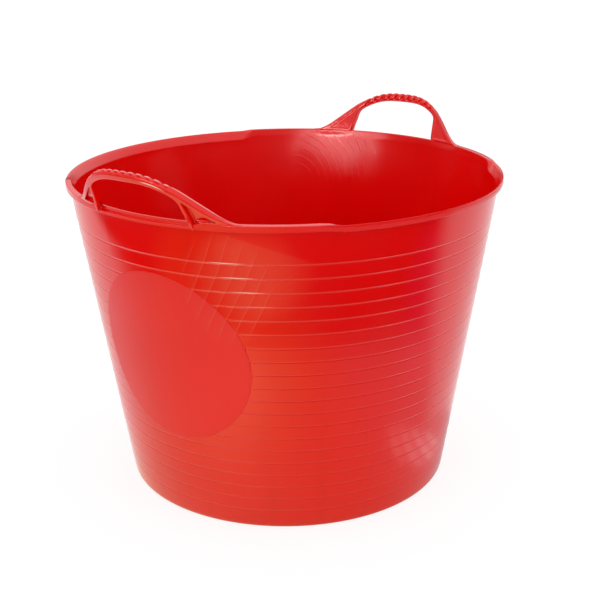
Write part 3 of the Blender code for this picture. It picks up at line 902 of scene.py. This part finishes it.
def moulding_flow(n, along, z, place):
    """Marks where the plastic ran out from the feet of the handles: how whitened, and how high.
    The ridges are paler of their own, the slope behind each has painted shading, and one patch has
    a painted sheen.
    """
    drift = n.math("SUBTRACT", n.noise(place, scale=12.0, detail=1.0), 0.5)
    drift = n.math("MULTIPLY", drift, DRIFT)
    slanted = n.math("MULTIPLY_ADD", z, -FLOW_SLOPE, n.math("ADD", along, drift))
    lines, slope = flow_marks(n, slanted, along, z, FLOW_PITCH, FLOW_MIDDLE, FLOW_HALF)
    curved = n.math("ADD", distance_from(n, along, z, ARC_CENTRE), n.math("MULTIPLY", drift, 0.5))
    arcs, arc_slope = flow_marks(n, curved, along, z, ARC_PITCH, ARC_MIDDLE, ARC_HALF)
    bowed = n.math("ADD", distance_from(n, along, z, BACK_CENTRE), n.math("MULTIPLY", drift, 0.6))
    bows, bow_slope = flow_marks(n, bowed, along, z, BACK_PITCH, BACK_MIDDLE, BACK_HALF)
    # Paler ridges, and painted shading on the slope behind each
    white = n.math("MULTIPLY_ADD", lines, LINE_WHITE, n.math("MULTIPLY", slope, SLOPE_PAINTED_SHADE))
    white = n.math("ADD", white, n.math("MULTIPLY", arcs, ARC_WHITE))
    # A painted sheen in one patch, with a sharp upper edge
    above = n.math("MULTIPLY_ADD", along, SHEEN_SLOPE, z)
    sheen = n.span(patch_reach(n, along, z, SHEEN_MIDDLE, SHEEN_HALF), *SHEEN_EDGE)
    sheen = n.math("MULTIPLY", sheen, n.span(above, SHEEN_TOP + 0.001, SHEEN_TOP - 0.002))
    white = n.math("MULTIPLY_ADD", sheen, PAINTED_SHEEN_WHITE, white)
    height = n.math("MULTIPLY_ADD", slope, SLOPE_HEIGHT, n.math("MULTIPLY", lines, LINE_HEIGHT))
    raised = n.math("MULTIPLY", n.math("ADD", arcs, arc_slope), ARC_HEIGHT)
    height = n.math("ADD", height, raised)
    raised = n.math("MULTIPLY", bows, BACK_LINE_HEIGHT)
    raised = n.math("MULTIPLY_ADD", bow_slope, BACK_SLOPE_HEIGHT, raised)
    return white, n.math("ADD", height, raised)


def painted_ledge_glints(n, along, z, reach):
    """A painted glint on the edges of a few ledges, only on the outside of the wall."""
    ledge = n.math("DIVIDE", n.math("SUBTRACT", z, LEDGE_START), LEDGE_PITCH)
    painted_glint = n.span(n.math("PINGPONG", ledge, 0.5), LEDGE_GLINT_WIDTH, 0.0)
    wall_line = n.math("MULTIPLY_ADD", z, WALL_TAPER, PAN_RADIUS - WALL_TAPER * PAN_TOP)
    outside = n.span(n.math("SUBTRACT", reach, wall_line), *OUTER_FACE)
    painted_glint = n.math("MULTIPLY", painted_glint, outside)
    beside = n.math("SUBTRACT", n.math("MULTIPLY_ADD", z, LEDGE_GLINT_SLOPE, along), LEDGE_GLINT_MIDDLE)
    painted_glint = n.math("MULTIPLY", painted_glint, n.span(n.math("ABSOLUTE", beside), LEDGE_GLINT_HALF, 0.0))
    upright = n.math("MULTIPLY", n.span(z, LEDGE_GLINT_LOW, LEDGE_GLINT_HIGH), n.span(z, *LEDGE_GLINT_TOP))
    return n.math("MULTIPLY", painted_glint, upright)


def painted_grip_glint(n, along, z, reach):
    """A painted glint along the crease of the front grip, only on its outer face."""
    bend = n.math("POWER", n.math("SUBTRACT", along, GRIP_GLINT[0]), 2.0)
    above = n.math("SUBTRACT", n.math("MULTIPLY_ADD", bend, GRIP_GLINT_BEND, z), GRIP_GLINT[1])
    grip_glint_line = n.span(n.math("ABSOLUTE", above), *GRIP_GLINT_EDGE)
    handle_line = n.math("MULTIPLY_ADD", z, LEAN, HANDLE_RADIUS - LEAN * RIM_TOP)
    outside = n.span(n.math("SUBTRACT", reach, handle_line), 0.0, 0.001)
    grip_glint_line = n.math("MULTIPLY", grip_glint_line, outside)
    beside = n.math("ABSOLUTE", n.math("SUBTRACT", along, GRIP_GLINT_MIDDLE))
    return n.math("MULTIPLY", grip_glint_line, n.span(beside, *GRIP_GLINT_END))


def plastic(name, dullest, glossiest, grain_depth):
    """Soft red polyethylene: cloudy pigment, moulding flow, fine grain and light scuffing, with
    painted glints, highlights, shading and a sheen in its colour.
    """
    material = bpy.data.materials.new(name)
    n = Nodes(material)
    place = n.add("ShaderNodeTexCoord").outputs["Object"]
    parts = n.add("ShaderNodeSeparateXYZ", {"Vector": place})
    x, y, z = parts.outputs
    turn = n.math("ARCTAN2", x, n.math("MULTIPLY", y, -1.0))
    along = n.math("MULTIPLY", turn, HANDLE_RADIUS)
    wall = n.add("ShaderNodeCombineXYZ", {"X": along, "Y": z}).outputs[0]
    cloud = n.noise(place, scale=6.0)
    colour = n.mix(n.span(cloud, 0.3, 0.7), DEEP_RED, BRIGHT_RED)
    streaked = n.add("ShaderNodeMapping", {"Vector": wall, "Scale": (46.0, 5.0, 1.0)}).outputs[0]
    streaks = n.noise(streaked, scale=1.0, distortion=0.4)
    colour = n.mix(n.span(streaks, 0.5, 0.8, 0.0, 0.5), colour, STREAK_RED)
    slanted = n.add(
        "ShaderNodeMapping",
        {"Vector": wall, "Rotation": (0.0, 0.0, 0.35), "Scale": (16.0, 420.0, 1.0)},
    ).outputs[0]
    reach = n.math("SQRT", n.math("ADD", n.math("POWER", x, 2.0), n.math("POWER", y, 2.0)))
    white, flow_height = moulding_flow(n, along, z, place)
    # Painted glints: on a few ledges, and along the front grip's crease
    painted_glint = n.math("ADD", painted_ledge_glints(n, along, z, reach), painted_grip_glint(n, along, z, reach))
    scratch = n.span(n.noise(slanted, scale=1.0, detail=2.0, distortion=0.3), 0.70, 0.84)
    patches = n.span(n.noise(place, scale=11.0, detail=2.0), 0.45, 0.7)
    scratch = n.math("MULTIPLY", scratch, patches)
    colour = n.mix(n.math("MULTIPLY", scratch, 0.06), colour, SCRATCH_RED)
    # Paler flow marks, with painted shading on their slopes and a painted sheen
    colour = n.mix(white, colour, PALE_MARK_AND_SHEEN_RED)
    # Painted glints on a few ledges and along the front grip's crease
    colour = n.mix(painted_glint, colour, PAINTED_GLINT_PINK)
    # Painted highlight along the handles' upper inner edges, stronger on the front one
    painted_highlight = n.add("ShaderNodeAttribute", attribute_name="painted_edge_highlight").outputs["Fac"]
    colour = n.mix(n.math("MULTIPLY", painted_highlight, 0.85), colour, PAINTED_HIGHLIGHT_PINK)
    n.put(n.shader.inputs["Base Color"], colour)
    rough = n.span(n.noise(place, scale=9.0), 0.3, 0.75, glossiest, dullest)
    rough = n.math("ADD", rough, n.math("MULTIPLY", scratch, 0.15))
    n.put(n.shader.inputs["Roughness"], rough)
    wave = n.noise(streaked, scale=0.35, detail=1.0, roughness=0.4)
    swell = n.noise(place, scale=9.0, detail=1.0, roughness=0.4)
    grain = n.noise(place, scale=420.0, detail=1.0)
    height = n.math("MULTIPLY", grain, grain_depth)
    height = n.math("ADD", height, n.math("MULTIPLY", wave, 0.22))
    height = n.math("ADD", height, n.math("MULTIPLY", swell, 0.5))
    height = n.math("SUBTRACT", height, n.math("MULTIPLY", scratch, 0.03))
    height = n.math("ADD", height, flow_height)
    bump = n.add("ShaderNodeBump", {"Height": height, "Strength": 0.5, "Distance": 0.001})
    n.put(n.shader.inputs["Normal"], bump.outputs[0])
    n.shader.inputs["IOR"].default_value = 1.5
    return material


# Stage


def build_camera():
    """The camera at the photo's angle, with its small roll and the photo's framing."""
    back = Vector(
        (
            math.sin(CAMERA_AZIMUTH) * math.cos(CAMERA_ELEVATION),
            -math.cos(CAMERA_AZIMUTH) * math.cos(CAMERA_ELEVATION),
            math.sin(CAMERA_ELEVATION),
        )
    )
    level = Vector((math.cos(CAMERA_AZIMUTH), math.sin(CAMERA_AZIMUTH), 0.0))
    upright = back.cross(level)
    right = level * math.cos(CAMERA_ROLL) + upright * math.sin(CAMERA_ROLL)
    up = upright * math.cos(CAMERA_ROLL) - level * math.sin(CAMERA_ROLL)
    data = bpy.data.cameras.new("camera")
    data.sensor_width = SENSOR_WIDTH
    data.lens = FOCAL_LENGTH * SENSOR_WIDTH / IMAGE_SIZE
    data.shift_x = (IMAGE_SIZE / 2 - CAMERA_CENTRE[0]) / IMAGE_SIZE
    data.shift_y = (CAMERA_CENTRE[1] - IMAGE_SIZE / 2) / IMAGE_SIZE
    camera = bpy.data.objects.new("camera", data)
    bpy.context.scene.collection.objects.link(camera)
    matrix = Matrix((right, up, back)).transposed().to_4x4()
    matrix.translation = CAMERA_TARGET + back * CAMERA_DISTANCE
    camera.matrix_world = matrix
    bpy.context.scene.camera = camera


def ellipse(n, across, away, middle, half, edge):
    """One inside an ellipse on the floor, nought outside it, with a soft edge."""
    reach = n.math("SQRT", patch_reach(n, across, away, middle, half))
    return n.span(reach, 1.0 + edge, 1.0 - edge)


def mirrored_floor(n, across, away):
    """What the plastic mirrors of the floor: a bright sheet behind the tub, paler ground near
    it, a few softer patches, and a little colour."""
    reach = n.math("SQRT", n.math("ADD", n.math("POWER", across, 2.0), n.math("POWER", away, 2.0)))
    slanted = n.math(
        "MULTIPLY_ADD", across, SHEET_EDGE_ACROSS, n.math("MULTIPLY", away, SHEET_EDGE_AWAY)
    )
    left = n.math("MULTIPLY", n.span(away, *SHEET_LEFT_AWAY), n.span(across, *SHEET_LEFT_ACROSS))
    sheet = n.math("MAXIMUM", n.span(away, *SHEET_AWAY), left)
    sheet = n.math("MULTIPLY", sheet, n.span(slanted, *SHEET_EDGE))
    dim = n.math("MULTIPLY_ADD", ellipse(n, across, away, *DIM_ELLIPSE), -DIM, 1.0)
    sheet = n.math("MULTIPLY", sheet, dim)
    near = n.math("MULTIPLY", n.span(reach, *NEAR_REACH), n.span(across, *NEAR_LEVEL))
    near = n.math("MULTIPLY_ADD", ellipse(n, across, away, *NEAR_ELLIPSE), NEAR, near)
    bands = n.math("ADD", n.math("ADD", across, away), BAND_SHIFT)
    bands = n.span(n.math("PINGPONG", bands, BAND_PITCH), *BAND_EDGE)
    bands = n.math("MULTIPLY", bands, ellipse(n, across, away, *BAND_ELLIPSE))
    near = n.math("MULTIPLY_ADD", bands, BANDS, near)
    front = n.math("MULTIPLY", ellipse(n, across, away, *FRONT_ELLIPSE), FRONT)
    fall = n.math("MULTIPLY", n.span(reach, *FARTHEST_REACH), n.span(across, *FARTHEST_FALL))
    far = n.math("MULTIPLY", n.span(reach, *FAR_REACH), n.math("ADD", fall, 1.0))
    level = n.math("MAXIMUM", n.math("MAXIMUM", sheet, near), n.math("MAXIMUM", front, far))
    blue = n.math("ADD", n.span(across, *BLUE_ACROSS), n.span(away, *BLUE_AWAY))
    blue = n.math("MINIMUM", blue, 1.0)
    tint = n.add("ShaderNodeCombineColor", {"Red": 1.0, "Green": GREEN, "Blue": blue}).outputs[0]
    mirrored = n.add("ShaderNodeEmission", {"Color": tint, "Strength": level}).outputs[0]
    haze = n.math("MULTIPLY", ellipse(n, across, away, *HAZE_ELLIPSE), HAZE)
    crimson = n.math("MULTIPLY", ellipse(n, across, away, *CRIMSON_ELLIPSE), CRIMSON)
    for colour, strength in ((HAZE_COLOUR, haze), (CRIMSON_COLOUR, crimson)):
        glow = n.add("ShaderNodeEmission", {"Color": colour, "Strength": strength}).outputs[0]
        mirrored = n.join("ShaderNodeAddShader", mirrored, glow)
    return mirrored


def build_floor():
    """A pale floor. It stays white to the camera but keeps the tub's shadow."""
    mesh = bpy.data.meshes.new("floor")
    half, low = FLOOR_HALF, -FLOOR_DROP
    corners = [(-half, -half, low), (half, -half, low), (half, half, low), (-half, half, low)]
    mesh.from_pydata(corners, [], [(0, 1, 2, 3)])
    floor = bpy.data.objects.new("floor", mesh)
    bpy.context.scene.collection.objects.link(floor)
    material = bpy.data.materials.new("pale_floor")
    n = Nodes(material)
    n.tree.nodes.remove(n.shader)
    path = n.add("ShaderNodeLightPath").outputs
    place = n.add("ShaderNodeTexCoord").outputs["Object"]
    turned = n.add("ShaderNodeMapping", {"Vector": place, "Rotation": (0.0, 0.0, -CAMERA_AZIMUTH)})
    across, away, _ = n.add("ShaderNodeSeparateXYZ", {"Vector": turned.outputs[0]}).outputs
    matt = n.add("ShaderNodeBsdfDiffuse", {"Color": FLOOR_MATT}).outputs[0]
    shaded = n.add("ShaderNodeBsdfDiffuse", {"Color": FLOOR_SHADED}).outputs[0]
    white = n.add("ShaderNodeEmission", {"Strength": FLOOR_WHITE}).outputs[0]
    seen = n.join("ShaderNodeAddShader", shaded, white)
    mirrored = mirrored_floor(n, across, away)
    direct = n.math("MAXIMUM", path["Is Camera Ray"], path["Is Transmission Ray"])
    surface = n.join("ShaderNodeMixShader", matt, mirrored, path["Is Glossy Ray"])
    surface = n.join("ShaderNodeMixShader", surface, seen, direct)
    n.put(n.tree.nodes["Material Output"].inputs["Surface"], surface)
    mesh.materials.append(material)


def build_world():
    """White to the camera. What the plastic mirrors is darker low down and brighter overhead."""
    world = bpy.data.worlds.new("studio")
    bpy.context.scene.world = world
    n = Nodes(world)
    background = n.tree.nodes["Background"]
    path = n.add("ShaderNodeLightPath").outputs
    place = n.add("ShaderNodeTexCoord").outputs["Generated"]
    turned = n.add("ShaderNodeMapping", {"Vector": place, "Rotation": (0.0, 0.0, -CAMERA_AZIMUTH)})
    across, away, rise = n.add("ShaderNodeSeparateXYZ", {"Vector": turned.outputs[0]}).outputs
    mirrored = n.span(rise, *SKY_RISE, LOW_SKY, HIGH_SKY)
    behind = n.math("MULTIPLY", n.span(away, *BACK_AWAY), n.span(rise, *BACK_RISE))
    mirrored = n.math("MULTIPLY_ADD", behind, BACK_SKY, mirrored)
    aside = n.math("ARCTAN2", across, n.math("MULTIPLY", away, -1.0))
    sill = n.math("SUBTRACT", rise, n.math("MULTIPLY_ADD", aside, SILL_SLOPE, SILL_RISE))
    jamb = n.math("MULTIPLY_ADD", rise, JAMB_SLOPE, aside)
    window = n.math("MULTIPLY", n.span(jamb, *JAMB_EDGE), n.span(aside, *WINDOW_ASIDE))
    window = n.math("MULTIPLY", window, n.span(aside, *WINDOW_END))
    upright = n.math("MULTIPLY", n.span(sill, *SILL_EDGE), n.span(rise, *WINDOW_TOP))
    window = n.math("MULTIPLY", window, upright)
    mirrored = n.math("MULTIPLY_ADD", window, WINDOW, mirrored)
    spot = n.math("MULTIPLY", n.span(aside, *GLINT_LEFT), n.span(aside, *GLINT_RIGHT))
    upright = n.math("MULTIPLY", n.span(rise, *GLINT_LOW), n.span(rise, *GLINT_TOP))
    spot = n.math("MULTIPLY", spot, upright)
    mirrored = n.math("MULTIPLY_ADD", spot, GLINT, mirrored)
    ambient = n.span(rise, 0.0, 1.0, LOW_AMBIENT, HIGH_AMBIENT)
    glossy = path["Is Glossy Ray"]
    level = n.math("MULTIPLY_ADD", glossy, n.math("SUBTRACT", mirrored, ambient), ambient)
    direct = n.math("MAXIMUM", path["Is Camera Ray"], path["Is Transmission Ray"])
    level = n.math("MAXIMUM", level, direct)
    n.put(background.inputs["Strength"], level)
    background.inputs["Color"].default_value = (1.0, 1.0, 1.0, 1.0)


def add_lamp(name, azimuth, elevation, distance, size, power):
    """A softbox that faces the tub, placed by its angle from the camera's own azimuth."""
    turn = CAMERA_AZIMUTH + math.radians(azimuth)
    rise = math.radians(elevation)
    flat = math.cos(rise)
    away = Vector((math.sin(turn) * flat, -math.cos(turn) * flat, math.sin(rise)))
    data = bpy.data.lights.new(name, "AREA")
    data.shape = "RECTANGLE"
    data.size, data.size_y = size
    data.energy = power
    lamp = bpy.data.objects.new(name, data)
    bpy.context.scene.collection.objects.link(lamp)
    lamp.location = CAMERA_TARGET + away * distance
    lamp.rotation_euler = away.to_track_quat("Z", "Y").to_euler()
    lamp.visible_glossy = False


build_camera()
build_world()
build_floor()
add_lamp("key", azimuth=-38.0, elevation=14.0, distance=2.2, size=(0.9, 0.7), power=4.0)
add_lamp("fill", azimuth=50.0, elevation=16.0, distance=2.2, size=(1.0, 1.0), power=2.0)

tub = build_tub()
panel = build_panel()
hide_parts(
    "base_pan", "tub_wall", "pouring_lip_left", "pouring_lip_right",
    "handle_rim_front", "handle_rim_back",
)
pieces = [tub, panel] + build_handles()
glossy_red = plastic("soft_red_plastic", dullest=0.20, glossiest=0.12, grain_depth=0.004)
matt_red = plastic("soft_red_plastic_matt", dullest=0.46, glossiest=0.40, grain_depth=0.03)
for piece in pieces:
    piece.data.materials.append(matt_red if piece is panel else glossy_red)
for piece in (tub, panel):
    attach(piece, "tub")

bpy.context.scene.view_settings.view_transform = "Standard"
